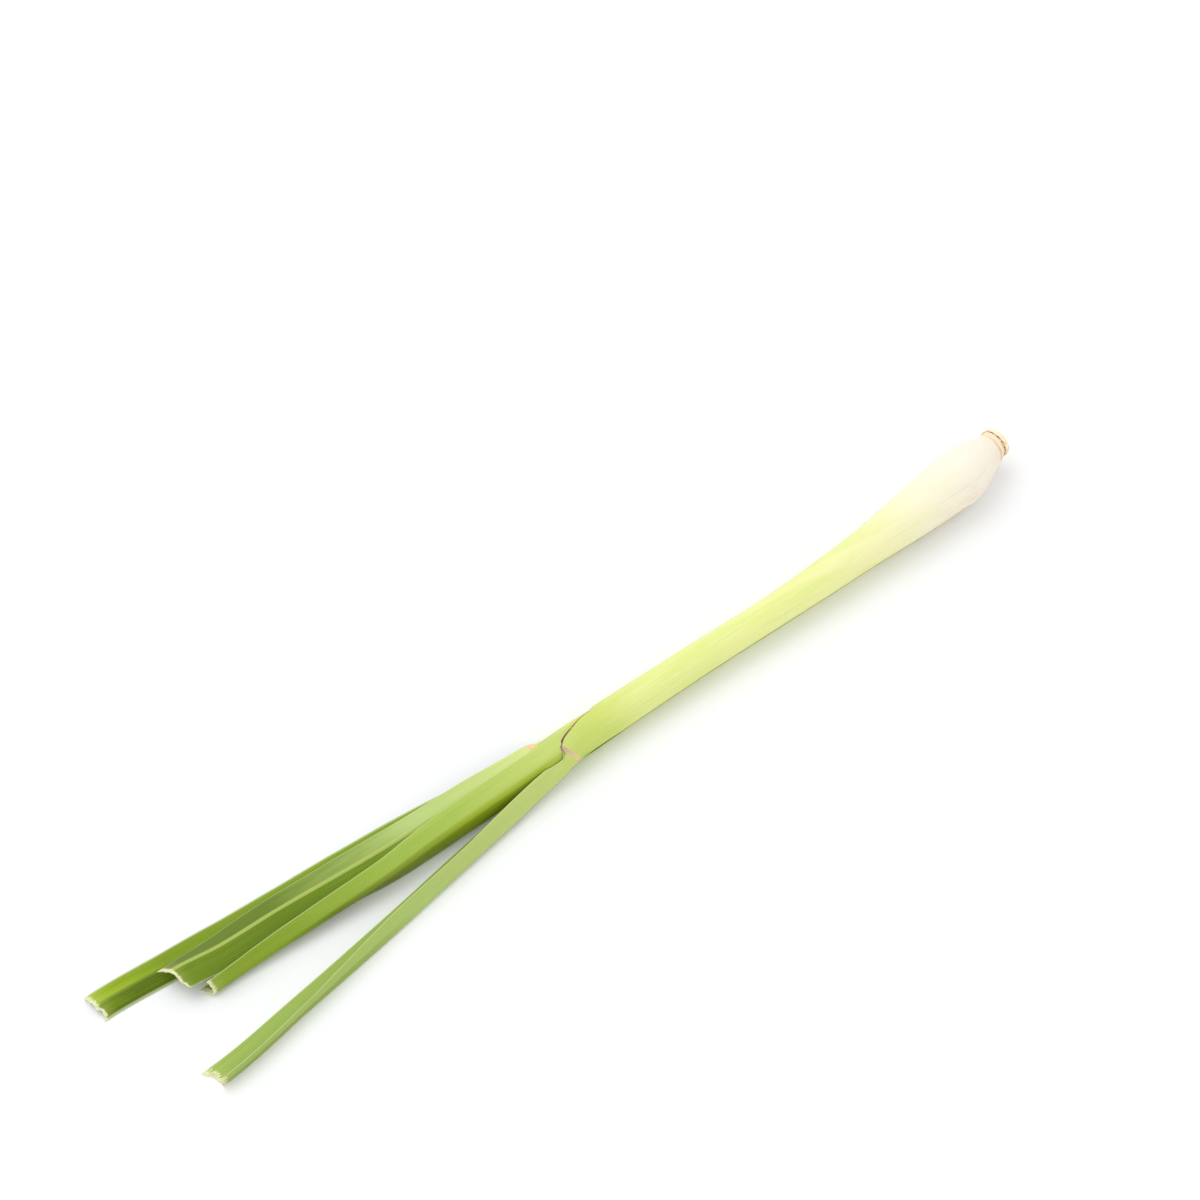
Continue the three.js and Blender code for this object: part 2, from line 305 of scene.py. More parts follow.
def leaf_wing(rows, section, side, width_name, seed):
    """One side of the leaf's outer face, from the midrib out: y, z, facing, and both distances across."""
    on_blade = ease(rows, 225, 300)[:, None]
    share = np.linspace(0, 1, WING_COLUMNS + 1)
    width = section[width_name][:, None]
    distance = share[None, :] * width
    middle = (distance[:, 1:] + distance[:, :-1]) / 2
    fold = section["fold_" + width_name][:, None]
    curl = np.degrees(section["curl_" + width_name])[:, None]
    wave = ripple(rows, seed * 10 + side, WAVE_LENGTH)[:, None] * on_blade
    edge_wave = ripple(rows, seed * 10 + side + 5, EDGE_WAVE_LENGTH)[:, None] * on_blade
    lean = fold * ease(middle, 0, CREASE_ROUNDING) + curl * middle
    lean = lean + wave * WAVE_LEAN * ease(middle, 0, 3)
    lean = lean + edge_wave * EDGE_WAVE_LEAN * ease(middle / width, 0.6, 1)
    angle = np.radians(section["facing"][:, None] + side * lean)
    step = np.diff(distance, axis=1)
    y = section["y"][:, None] + np.cumsum(-side * np.cos(angle) * step, axis=1)
    z = section["z"][:, None] + np.cumsum(-side * np.sin(angle) * step, axis=1)
    normal = np.concatenate([angle, angle[:, -1:]], axis=1)[:, 1:]
    return y, z, normal, distance[:, 1:], width - distance[:, 1:]


def sheet_faces(n_rows):
    """The faces of a closed sheet whose outer points come first, row by row, and then its inner points."""
    start = n_rows * COLUMNS
    faces = []
    for row in range(n_rows - 1):
        for column in range(COLUMNS - 1):
            a = row * COLUMNS + column
            faces.append((a, a + COLUMNS, a + COLUMNS + 1, a + 1))
            b = a + start
            faces.append((b, b + 1, b + COLUMNS + 1, b + COLUMNS))
        low = row * COLUMNS
        faces.append((low, low + start, low + start + COLUMNS, low + COLUMNS))
        high = low + COLUMNS - 1
        faces.append((high, high + COLUMNS, high + COLUMNS + start, high + start))
    last_row = (n_rows - 1) * COLUMNS
    for column in range(COLUMNS - 1):
        faces.append((column, column + 1, column + 1 + start, column + start))
        last = last_row + column
        faces.append((last, last + start, last + start + 1, last + 1))
    return faces


def leaf_mesh(name, section_at, end, slant, seed):
    """A closed sheet through fine cross-sections, with the attributes that its material reads."""
    rows = leaf_rows(end)
    section = dict(zip(FIELDS, section_at(rows)))
    wings = [leaf_wing(rows, section, -1, "low", seed), leaf_wing(rows, section, 1, "high", seed)]

    def joined(index, middle_value):
        low = wings[0][index][:, ::-1]
        high = wings[1][index]
        return np.concatenate([low, middle_value[:, None], high], axis=1)

    y = joined(0, section["y"])
    z = joined(1, section["z"])
    normal = joined(2, np.radians(section["facing"]))
    to_midrib = joined(3, np.zeros(len(rows)))
    to_margin = joined(4, np.minimum(section["low"], section["high"]))
    sign = np.concatenate([-np.ones(WING_COLUMNS), [0], np.ones(WING_COLUMNS)])
    across = to_midrib * sign[None, :]

    thin = MARGIN_WALL_SHARE + (1 - MARGIN_WALL_SHARE) * ease(to_margin, 0, MARGIN_TAPER)
    wall = section["wall"][:, None] * thin
    midrib = MIDRIB_HEIGHT * np.exp(-(to_midrib / MIDRIB_SPREAD) ** 2) * ease(rows, 215, 260)[:, None]
    near_cut = ((rows - end + CUT_STRETCH) / CUT_STRETCH).clip(0)
    along = rows[:, None] + cut_edge(slant, seed)[None, :] * near_cut[:, None]

    def layer(depth):
        lift = z + np.cos(normal) * depth
        return np.stack([
            ROOT_X - along,
            AXIS_Y + y - np.sin(normal) * depth,
            np.maximum(lift, FLOOR_CLEARANCE),
        ], axis=-1)

    outer = layer(midrib)
    inner = layer(-wall)
    inner[..., 2] = np.maximum(inner[..., 2], FLOOR_CLEARANCE * 2)
    points = np.concatenate([outer.reshape(-1, 3), inner.reshape(-1, 3)]) * MM

    mesh = bpy.data.meshes.new(name)
    mesh.from_pydata(points.tolist(), [], sheet_faces(len(rows)))
    mesh.update()

    def both(values):
        return np.concatenate([values.ravel(), values.ravel()])

    add_attribute(mesh, "along", both(along))
    add_attribute(mesh, "across", both(across))
    add_attribute(mesh, "to_margin", both(to_margin))
    add_attribute(mesh, "to_cut", both(np.repeat((end - rows)[:, None], COLUMNS, axis=1)))
    add_attribute(mesh, "inside", np.repeat([0, 1], along.size))
    finish_mesh(mesh, LEAF_SHARP_ANGLE)
    return mesh


def add_attribute(mesh, name, values):
    attribute = mesh.attributes.new(name, "FLOAT", "POINT")
    attribute.data.foreach_set("value", np.asarray(values, np.float32))


def finish_mesh(mesh, angle):
    mesh.shade_smooth()
    mesh.set_sharp_from_angle(angle=math.radians(angle))


def add_piece(name, mesh, material, node):
    """Adds a piece of the stalk that stands for one of the part's nodes."""
    piece = bpy.data.objects.new(name, mesh)
    bpy.context.scene.collection.objects.link(piece)
    mesh.materials.append(material)
    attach(piece, "root")
    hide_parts(node)


# ---- Materials -------------------------------------------------------------------------------------

def srgb(red, green, blue):
    """A screen colour, 0 to 255, as the linear colour that a shader takes."""
    def linear(value):
        value /= 255
        return value / 12.92 if value <= 0.04045 else ((value + 0.055) / 1.055) ** 2.4
    return (linear(red), linear(green), linear(blue), 1)


BUMP_STRENGTH = 0.8
LEAF_BUMP_DEPTH = 0.00012
STUB_BUMP_DEPTH = 0.0003


class Shader:
    """A small helper that adds nodes to a material's tree and links them."""

    def __init__(self, name):
        self.material = bpy.data.materials.new(name)
        self.material.use_nodes = True
        self.tree = self.material.node_tree
        self.tree.nodes.clear()
        self.surface = self.tree.nodes.new("ShaderNodeBsdfPrincipled")
        output = self.tree.nodes.new("ShaderNodeOutputMaterial")
        self.tree.links.new(self.surface.outputs["BSDF"], output.inputs["Surface"])

    def plug(self, socket, value):
        if isinstance(value, bpy.types.NodeSocket):
            self.tree.links.new(value, socket)
        else:
            socket.default_value = value

    def attribute(self, name):
        node = self.tree.nodes.new("ShaderNodeAttribute")
        node.attribute_name = name
        return node.outputs["Fac"]

    def math(self, operation, a, b=0.0):
        node = self.tree.nodes.new("ShaderNodeMath")
        node.operation = operation
        self.plug(node.inputs[0], a)
        self.plug(node.inputs[1], b)
        return node.outputs[0]

    def times(self, a, b):
        return self.math("MULTIPLY", a, b)

    def plus(self, a, b):
        return self.math("ADD", a, b)

    def minus(self, a, b):
        return self.math("SUBTRACT", a, b)

    def remap(self, value, low, high, to_low=0.0, to_high=1.0, smooth_step=True):
        node = self.tree.nodes.new("ShaderNodeMapRange")
        node.interpolation_type = "SMOOTHSTEP" if smooth_step else "LINEAR"
        self.plug(node.inputs["Value"], value)
        limits = {"From Min": low, "From Max": high, "To Min": to_low, "To Max": to_high}
        for socket, number in limits.items():
            node.inputs[socket].default_value = number
        return node.outputs["Result"]

    def vector(self, x, y, z=0.0):
        node = self.tree.nodes.new("ShaderNodeCombineXYZ")
        for socket, value in zip(node.inputs, (x, y, z)):
            self.plug(socket, value)
        return node.outputs[0]

    def noise(self, vector, scale=1.0, detail=3.0, roughness=0.55):
        node = self.tree.nodes.new("ShaderNodeTexNoise")
        self.plug(node.inputs["Vector"], vector)
        node.inputs["Scale"].default_value = scale
        node.inputs["Detail"].default_value = detail
        node.inputs["Roughness"].default_value = roughness
        return node.outputs["Fac"]

    def cells(self, vector, scale=1.0):
        node = self.tree.nodes.new("ShaderNodeTexVoronoi")
        self.plug(node.inputs["Vector"], vector)
        node.inputs["Scale"].default_value = scale
        return node.outputs["Distance"]

    def ramp(self, value, stops):
        node = self.tree.nodes.new("ShaderNodeValToRGB")
        self.plug(node.inputs["Fac"], value)
        elements = node.color_ramp.elements
        while len(elements) < len(stops):
            elements.new(0.5)
        for element, (position, colour) in zip(elements, stops):
            element.position = position
            element.color = srgb(*colour)
        return node.outputs["Color"]

    def mix(self, share, a, b, blend="MIX"):
        node = self.tree.nodes.new("ShaderNodeMix")
        node.data_type = "RGBA"
        node.blend_type = blend
        self.plug(node.inputs["Factor"], share)
        self.plug(node.inputs[6], a)
        self.plug(node.inputs[7], b)
        return node.outputs[2]

    def bump(self, height, distance):
        node = self.tree.nodes.new("ShaderNodeBump")
        node.inputs["Strength"].default_value = BUMP_STRENGTH
        node.inputs["Distance"].default_value = distance
        self.plug(node.inputs["Height"], height)
        self.plug(self.surface.inputs["Normal"], node.outputs["Normal"])


# The colour ramps run along LEAF_SPAN, in mm from the root end, and patches shift them by up to half of
# PATCH_SHIFT. The ribs are a sine wave of RIBS_TURN radians for each mm across, which streaks push aside by
# up to RIBS_WANDER radians. The inner face takes its noise from a layer INSIDE_LAYER further on.
LEAF_SPAN = 400.0
PATCH_SHIFT = 34.0
RIBS_TURN = 7.4
RIBS_WANDER = 5.0
INSIDE_LAYER = 9.0

RIB_SHADE = srgb(90, 120, 10)
STREAK_LIGHT = srgb(120, 120, 60)
STREAK_DARK = srgb(104, 140, 34)
GRAIN_TINT = srgb(90, 90, 50)
MARGIN_CREAM = srgb(232, 236, 188)
SPECK_BROWN = srgb(168, 126, 62)
DRIED_YELLOW = srgb(206, 206, 120)
CUT_CREAM = srgb(230, 232, 184)
CUT_TAN = srgb(176, 140, 84)


def along_stops(stops):
    """Colour stops given by distance along the leaf, as shares of the ramp."""
    return [(distance / LEAF_SPAN, colour) for distance, colour in stops]


def stretched(shader, across, along, across_scale, along_scale, layer=0.0):
    """A place on the leaf for a noise that is drawn out along it."""
    return shader.vector(
        shader.times(across, across_scale), shader.times(along, along_scale), layer)


def leaf_material(name, low, high, inner, midrib, seed, extra=None, margin=(0.35, 0.42), turn=(-0.5, 0.5),
                  inner_low=None, cut_depth=1.6):
    """Ribbed leaf: colours along each wing and the inner face, streaks, ribs, specks and a fibrous cut."""
    shader = Shader(name)
    along = shader.attribute("along")
    across = shader.attribute("across")
    inside = shader.attribute("inside")
    to_margin = shader.attribute("to_margin")
    to_cut = shader.attribute("to_cut")
    layer = shader.plus(shader.times(inside, INSIDE_LAYER), float(seed))

    def grain(across_scale, along_scale):
        return stretched(shader, across, along, across_scale, along_scale, layer)

    patches = shader.noise(grain(0.22, 0.035), detail=2)
    streaks = shader.noise(grain(1.5, 0.012), detail=5, roughness=0.65)
    fine = shader.noise(grain(4.5, 0.03), detail=3)
    shift = shader.times(shader.minus(patches, 0.5), PATCH_SHIFT)
    place = shader.math("DIVIDE", shader.plus(along, shift), LEAF_SPAN)

    # Each wing and each face takes its own colour ramp. On the outer and third leaves, the ramps of a wing
    # turned from the light carry painted shade.
    high_share = shader.remap(across, *turn)
    outer_low_colour = shader.ramp(place, along_stops(low))
    outer_colour = shader.mix(high_share, outer_low_colour, shader.ramp(place, along_stops(high)))
    inner_low_colour = shader.ramp(place, along_stops(inner_low or inner))
    inner_colour = shader.mix(high_share, inner_low_colour, shader.ramp(place, along_stops(inner)))
    colour = shader.mix(inside, outer_colour, inner_colour)

    wander = shader.times(streaks, RIBS_WANDER)
    rib_phase = shader.plus(shader.times(across, RIBS_TURN), wander)
    ribs = shader.plus(shader.times(shader.math("SINE", rib_phase), 0.5), 0.5)
    on_blade = shader.remap(along, 190, 270, 0.25, 1.0)
    rib_dark = shader.times(shader.minus(1.0, ribs), on_blade)
    colour = shader.mix(shader.times(rib_dark, 0.09), colour, RIB_SHADE, "MULTIPLY")
    light = shader.remap(streaks, 0.45, 0.75, 0.0, 0.26)
    lighter = shader.mix(1.0, colour, STREAK_LIGHT, "SCREEN")
    colour = shader.mix(light, colour, lighter)
    dark = shader.remap(streaks, 0.46, 0.22, 0.0, 0.22)
    colour = shader.mix(shader.times(dark, on_blade), colour, STREAK_DARK, "MULTIPLY")
    grain_share = shader.remap(fine, 0.3, 0.7, 0.0, 0.16)
    colour = shader.mix(grain_share, colour, GRAIN_TINT, "SCREEN")

    rib_share, rib_colour = midrib
    near_midrib = shader.remap(shader.math("ABSOLUTE", across), 1.0, 0.35)
    near_midrib = shader.times(near_midrib, shader.remap(along, 205, 240))
    colour = shader.mix(shader.times(near_midrib, rib_share), colour, srgb(*rib_colour))
    # A cream band along each margin; on the outer leaf it is wider and partly painted light.
    margin_share, margin_width = margin
    near_margin = shader.remap(to_margin, margin_width, margin_width * 0.25)
    near_margin = shader.times(near_margin, margin_share)
    colour = shader.mix(near_margin, colour, MARGIN_CREAM)

    distance = shader.cells(grain(0.55, 0.085))
    rare = shader.remap(shader.noise(grain(0.3, 0.05), detail=1), 0.56, 0.68)
    rare = shader.times(rare, shader.remap(along, 232, 262))
    speck = shader.times(shader.remap(distance, 0.17, 0.05), rare)
    colour = shader.mix(shader.times(speck, 0.55), colour, SPECK_BROWN)

    if extra:
        colour = extra(shader, colour, along, across, to_margin, inside)

    fibre = shader.noise(grain(2.6, 0.6), detail=2)
    reach = shader.remap(fibre, 0.3, 0.7, 0.4, cut_depth, smooth_step=False)
    cut = shader.remap(shader.minus(reach, to_cut), -0.35, 0.25)
    cut_colour = shader.mix(shader.remap(fine, 0.56, 0.66), CUT_CREAM, CUT_TAN)
    dried = shader.remap(to_cut, 6.0, 0.5, 0.0, 0.16)
    colour = shader.mix(dried, colour, DRIED_YELLOW)
    colour = shader.mix(cut, colour, cut_colour)

    shader.plug(shader.surface.inputs["Base Color"], colour)
    shader.plug(shader.surface.inputs["Roughness"], shader.remap(streaks, 0.25, 0.75, 0.36, 0.55))
    shader.surface.inputs["Specular IOR Level"].default_value = 0.14
    height = shader.plus(shader.times(ribs, 0.55), shader.times(fine, 0.45))
    height = shader.plus(height, shader.times(streaks, 0.8))
    shader.bump(height, LEAF_BUMP_DEPTH)
    return shader.material


# The second leaf's collar slopes across its outer face: its distance where across is 0, and its slope.
COLLAR_ALONG = 217.9
COLLAR_SLOPE = 0.5
COLLAR_HALF_WIDTH = 0.8
INNER_COLLAR_ALONG = 228.2
ROOT_LINE_ALONG = 7.2
MOUTH_ALONG = 213.4
MOUTH_HALF_LENGTH = 9.8
LIP_ALONG = 223.2


def band(shader, value, middle, half_width):
    """1 within half_width of the middle, falling smoothly to 0 just outside."""
    away = shader.math("ABSOLUTE", shader.minus(value, middle))
    return shader.remap(away, half_width * 1.25, half_width * 0.75)


def not_inside(shader, share, inside):
    """The share on the leaf's outer face, and 0 on its inner one."""
    return shader.times(share, shader.minus(1.0, inside))


def root_line(shader, colour, across, shifted):
    """The tan line and the yellowed end where the sheath meets the root stub."""
    line = band(shader, shifted, ROOT_LINE_ALONG, 0.65)
    strong = shader.remap(across, -13.0, -1.0, 0.35, 1.0)
    colour = shader.mix(shader.times(line, strong), colour, srgb(224, 172, 96))
    stub_end = shader.remap(shifted, 6.4, 5.4, 0.0, 0.3)
    return shader.mix(stub_end, colour, srgb(240, 214, 160))


def pink_collar(shader, colour, along, across, inside, ragged):
    """The sloping collar below the mouth, and the greener patch beside it."""
    slope = shader.times(across, COLLAR_SLOPE)
    waver = shader.times(shader.minus(ragged, 0.5), 1.2)
    place = shader.plus(shader.plus(along, slope), waver)
    collar = band(shader, place, COLLAR_ALONG, COLLAR_HALF_WIDTH)
    collar = shader.times(collar, shader.remap(across, 3.0, 0.5))
    collar = not_inside(shader, collar, inside)
    collar_colour = shader.ramp(shader.remap(across, -9.5, 1.5, smooth_step=False), [
        (0.0, (190, 150, 140)), (0.25, (214, 178, 164)), (0.5, (236, 196, 160)), (0.8, (244, 204, 160)),
        (1.0, (226, 214, 150)),
    ])
    colour = shader.mix(shader.times(collar, 0.8), colour, collar_colour)
    patch = shader.times(band(shader, across, 2.0, 3.2), band(shader, along, 216.6, 2.6))
    patch = not_inside(shader, patch, inside)
    return shader.mix(shader.times(patch, 0.55), colour, srgb(160, 196, 60))


def stem_tints(shader, colour, along, across):
    """Green blotches, pale veins, the bulb's pink blush and its tan ribs."""
    blotch = shader.noise(stretched(shader, across, along, 0.16, 0.022))
    blotch = shader.times(shader.remap(blotch, 0.47, 0.6), band(shader, along, 136, 66))
    colour = shader.mix(shader.times(blotch, 0.4), colour, srgb(216, 232, 124))
    veins = shader.noise(stretched(shader, across, along, 2.2, 0.03, 3.0))
    veins = shader.times(shader.remap(veins, 0.5, 0.62), shader.remap(along, 215, 180, 0.0, 0.18))
    colour = shader.mix(veins, colour, srgb(255, 252, 226))
    blush = shader.noise(stretched(shader, across, along, 0.3, 0.08, 7.0))
    blush = shader.times(shader.remap(blush, 0.4, 0.62), shader.remap(along, 62, 34, 0.0, 0.45))
    blush = shader.times(blush, shader.remap(across, -20.0, 2.0))
    colour = shader.mix(blush, colour, srgb(242, 220, 202))
    bulb_ribs = shader.noise(stretched(shader, across, along, 3.2, 0.02, 11.0))
    bulb_ribs = shader.remap(bulb_ribs, 0.5, 0.64)
    bulb_ribs = shader.times(bulb_ribs, shader.remap(across, -20.0, 0.0, 0.0, 0.42))
    bulb_ribs = shader.times(bulb_ribs, band(shader, along, 50, 38))
    return shader.mix(bulb_ribs, colour, srgb(232, 214, 166))


def purple_mouth(shader, colour, along, across, to_margin, ragged):
    """The dried edge of the sheath's mouth, on the margin of its low side, and the lip at its end."""
    mouth_width = shader.plus(shader.remap(along, 205, 219, 0.45, 0.9, smooth_step=False),
                              shader.remap(along, 219.5, 222.5, 0.0, 0.5))
    near_mouth = shader.remap(shader.math("DIVIDE", to_margin, mouth_width), 1.0, 0.6)
    lip = shader.times(band(shader, along, LIP_ALONG, 0.5), band(shader, across, -9.4, 2.2))
    near_mouth = shader.math("MAXIMUM", near_mouth, lip)
    mouth = shader.times(near_mouth, shader.remap(across, -2.0, -5.0))
    mouth = shader.times(mouth, band(shader, along, MOUTH_ALONG, MOUTH_HALF_LENGTH))
    mouth = shader.times(mouth, shader.remap(ragged, 0.25, 0.45, 0.45, 1.0))
    mouth_colour = shader.ramp(shader.remap(along, 202, 225, smooth_step=False), [
        (0.0, (196, 140, 120)), (0.35, (178, 110, 66)), (0.6, (140, 92, 58)), (0.76, (112, 74, 92)),
        (0.9, (92, 58, 82)), (1.0, (80, 60, 40)),
    ])
    return shader.mix(mouth, colour, mouth_colour)


def stem_and_collar(shader, colour, along, across, to_margin, inside):
    """The second leaf's own marks from the root line to its mouth, and painted shade beside the keel of its
    blade.
    """
    ragged = shader.noise(shader.vector(across, along, inside), 0.9, 3)
    shifted = shader.plus(along, shader.times(ragged, 1.6))
    colour = root_line(shader, colour, across, shifted)
    colour = pink_collar(shader, colour, along, across, inside, ragged)
    colour = stem_tints(shader, colour, along, across)
    # Painted shade: a darker olive band on the low wing beside the blade's keel, where the fold is in
    # shade.
    keel = shader.times(band(shader, across, -1.6, 1.3), shader.remap(along, 290, 325, 0.0, 0.45))
    colour = shader.mix(not_inside(shader, keel, inside), colour, srgb(122, 142, 56))
    return purple_mouth(shader, colour, along, across, to_margin, ragged)


def inner_collar(shader, colour, along, across, to_margin, inside):
    """The inner leaf's collar: a short orange band across its open wing."""
    ragged = shader.noise(shader.vector(across, along, inside), 0.8, 2)
    waver = shader.times(shader.minus(ragged, 0.5), 1.4)
    mark = band(shader, shader.plus(along, waver), INNER_COLLAR_ALONG, 1.3)
    mark = shader.times(mark, shader.remap(across, 1.5, -0.5))
    mark = not_inside(shader, mark, inside)
    tone = shader.ramp(ragged, [(0.35, (240, 164, 120)), (0.6, (250, 214, 150))])
    return shader.mix(shader.times(mark, 0.85), colour, tone)


PALE_STEM = [
    (0, (250, 240, 216)), (10, (250, 242, 226)), (24, (251, 243, 228)), (46, (250, 244, 214)),
    (75, (246, 244, 184)), (108, (238, 241, 160)), (150, (233, 239, 154)), (185, (228, 235, 146)),
    (205, (206, 219, 114)), (217, (199, 214, 110)),
]

second_material = leaf_material(
    "second_leaf_skin",
    low=[*PALE_STEM, (226, (198, 214, 120)), (262, (185, 205, 117)), (300, (174, 197, 108)),
         (384, (164, 186, 92))],
    high=[*PALE_STEM, (226, (198, 214, 120)), (262, (180, 202, 108)), (300, (166, 190, 92)),
          (384, (150, 178, 70))],
    inner=[(0, (240, 236, 190)), (200, (206, 220, 140)), (250, (168, 190, 92)), (384, (160, 186, 92))],
    midrib=(0.12, (206, 220, 140)), seed=2, extra=stem_and_collar, cut_depth=2.8)
outer_material = leaf_material(
    "outer_leaf_skin",
    low=[*PALE_STEM[:8], (240, (180, 205, 90)), (400, (140, 170, 45))],
    high=[*PALE_STEM[:8], (240, (180, 205, 90)), (400, (140, 170, 45))],
    inner=[(0, (240, 236, 190)), (200, (190, 208, 100)), (250, (134, 164, 40)), (370, (118, 146, 6)),
           (386, (136, 164, 8)), (400, (162, 188, 40))],
    # The low wing's inner face is painted shade: its ramp is darker than the high wing's because that wing
    # is turned from the light.
    inner_low=[(0, (240, 236, 190)), (200, (190, 208, 100)), (250, (120, 148, 30)), (386, (84, 110, 0)),
               (400, (112, 140, 12))],
    # The wider, stronger cream margin band is partly the sheath's pale edge and partly painted light,
    # brightening the edge where it turns into shade.
    midrib=(0.2, (160, 180, 80)), seed=3, margin=(0.5, 1.0))
third_material = leaf_material(
    "third_leaf_skin",
    low=[(0, (246, 240, 200)), (208, (198, 213, 116)), (228, (194, 211, 114)), (260, (172, 196, 90)),
         (290, (158, 185, 76)), (330, (144, 171, 54)), (367, (142, 167, 44))],
    # The high wing's ramp is painted shade. It darkens from the mouth on, where that wing faces away from
    # the light and lies in the blade's shadow, and turn starts the shaded colour close to the keel.
    high=[(0, (246, 240, 200)), (208, (196, 212, 104)), (224, (172, 192, 66)), (240, (158, 180, 42)),
          (262, (148, 170, 28)), (290, (124, 142, 26)), (318, (90, 109, 8)), (342, (128, 153, 28)),
          (367, (132, 158, 32))],
    inner=[(0, (240, 236, 190)), (210, (190, 205, 100)), (260, (138, 160, 32)), (367, (130, 158, 34))],
    midrib=(0.15, (190, 208, 100)), seed=4, turn=(-2.1, -0.3))
inner_material = leaf_material(
    "inner_leaf_skin",
    low=[(0, (246, 240, 200)), (212, (228, 239, 152)), (235, (208, 223, 136)), (262, (188, 208, 122)),
         (278, (182, 204, 124)), (300, (154, 178, 88)), (330, (98, 124, 20)), (376, (94, 120, 12))],
    high=[(0, (246, 240, 200)), (212, (208, 222, 120)), (240, (176, 196, 90)), (270, (164, 188, 82)),
          (300, (116, 148, 28)), (330, (102, 130, 20)), (376, (106, 134, 22))],
    inner=[(0, (240, 236, 190)), (215, (190, 206, 100)), (260, (140, 166, 46)), (376, (112, 140, 30))],
    midrib=(0.75, (182, 198, 104)), seed=5, extra=inner_collar)


# ---- The pieces ------------------------------------------------------------------------------------

outer_sections = leaf_sections(
    sheath_section(outer_radius, lambda s: OUTER_SHEATH_WALL, 195, OUTER_REACH_LOW, OUTER_REACH_HIGH),
    194, OUTER_BLADE)
second_sections = leaf_sections(
    sheath_section(second_radius, sheath_wall, 97, SECOND_REACH_LOW, SECOND_REACH_HIGH), 198, SECOND_BLADE)
third_sections = leaf_sections(
    sheath_section(third_radius, sheath_wall, 50, ROLLED_REACH, ROLLED_REACH), 194, THIRD_BLADE)
inner_sections = leaf_sections(
    sheath_section(inner_radius, inner_wall, -77, ROLLED_REACH, ROLLED_REACH), 190, INNER_BLADE)

# Each leaf's node, cross-sections, cut distance, slant of the cut at its two margins, seed and material.
LEAVES = [
    ("outer_leaf", outer_sections, 397, (0, 1.5), 3, outer_material),
    ("second_leaf", second_sections, 382, (1, 2.5), 2, second_material),
    ("third_leaf", third_sections, 365, (1.6, 3.2), 4, third_material),
    ("inner_leaf", inner_sections, 373.4, (2.4, -2.2), 5, inner_material),
]

for node, sections, end, slant, seed, material in LEAVES:
    sheet_name = node + "_sheet"
    add_piece(sheet_name, leaf_mesh(sheet_name, sections, end, slant, seed), material, node)


# The cut face leans towards +Y: the lengthwise shift for each millimetre across, the place where it is 0,
# the disc's shift towards +Y, and the share of the profile's length that is kept.
DISC_LEAN = 0.15
DISC_SET_BACK = 1.5
DISC_ASIDE = 0.4
DISC_SHORTENED = 0.82

# Its lean and its shift fade out over DISC_SETTLES_OVER, and are gone at DISC_FREE_TO from the root end.
DISC_FREE_TO = 4.4
DISC_SETTLES_OVER = 1.5
DISC_TURNS = 144
DISC_PROFILE_STEPS = 4
DISC_WEAR = ((2, 0.16), (3, 0.12), (7, 0.07), (13, 0.05), (29, 0.035))
DISC_FULL_WEAR_RADIUS = 5.0
DISC_END_WEAR_SHARE = 0.25
DISC_SHARP_ANGLE = 50


def root_stub_mesh():
    """The cut disc: a turned profile with a worn rim, and the groove behind it."""
    profile = [
        (0, 0.45), (3.2, 0.4), (4.9, 0.22), (5.5, 0.12), (5.95, 0.4), (6.25, 1.0), (6.3, 1.8), (6.15, 2.5),
        (5.95, 2.8), (5.65, 2.95), (5.65, 3.15), (5.9, 3.35), (6.05, 3.9), (6.0, 4.6), (5.4, 4.75),
        (0, 4.75),
    ]
    profile_end = profile[-1][1]
    rings = []
    for (r0, s0), (r1, s1) in zip(profile, profile[1:]):
        for t in np.linspace(0, 1, DISC_PROFILE_STEPS, endpoint=False):
            rings.append((r0 + (r1 - r0) * t, s0 + (s1 - s0) * t))
    rings.append(profile[-1])
    angles = np.linspace(0, 2 * math.pi, DISC_TURNS, endpoint=False)
    wear = np.zeros(DISC_TURNS)
    for k, size in DISC_WEAR:
        wear += size * np.sin(k * angles + RNG.uniform(0, 6))
    points = []
    values = []
    for radius, s in rings[1:-1]:
        rough = wear * min(radius / DISC_FULL_WEAR_RADIUS, 1.0)
        placed = profile_end - (profile_end - s) * DISC_SHORTENED
        loose = min(max((DISC_FREE_TO - placed) / DISC_SETTLES_OVER, 0), 1)
        lean = DISC_LEAN * loose
        for angle, dent in zip(angles, rough):
            r = radius + dent
            aside = r * math.sin(angle)
            end_wear = DISC_END_WEAR_SHARE * dent
            points.append((
                (ROOT_X - placed - end_wear + lean * (aside - DISC_SET_BACK)) * MM,
                (AXIS_Y + DISC_ASIDE * loose - aside) * MM,
                (STEM_Z(0) + r * math.cos(angle)) * MM,
            ))
            values.append((s, radius))
    faces = []
    n_rings = len(rings) - 2
    for ring in range(n_rings - 1):
        for k in range(DISC_TURNS):
            a = ring * DISC_TURNS + k
            b = ring * DISC_TURNS + (k + 1) % DISC_TURNS
            faces.append((a, b, b + DISC_TURNS, a + DISC_TURNS))
    front = len(points)
    face = profile_end - (profile_end - rings[0][1]) * DISC_SHORTENED + DISC_LEAN * DISC_SET_BACK
    points.append(((ROOT_X - face) * MM, (AXIS_Y + DISC_ASIDE) * MM, float(STEM_Z(0)) * MM))
    values.append((rings[0][1], 0))
    back = front + 1
    points.append(((ROOT_X - rings[-1][1]) * MM, AXIS_Y * MM, float(STEM_Z(0)) * MM))
    values.append((rings[-1][1], 0))
    last = (n_rings - 1) * DISC_TURNS
    for k in range(DISC_TURNS):
        after = (k + 1) % DISC_TURNS
        faces.append((front, after, k))
        faces.append((back, last + k, last + after))
    mesh = bpy.data.meshes.new("root_stub_disc")
    mesh.from_pydata([tuple(float(c) for c in p) for p in points], [], faces)
    mesh.update()
    add_attribute(mesh, "along", [v[0] for v in values])
    add_attribute(mesh, "radius", [v[1] for v in values])
    finish_mesh(mesh, DISC_SHARP_ANGLE)
    return mesh


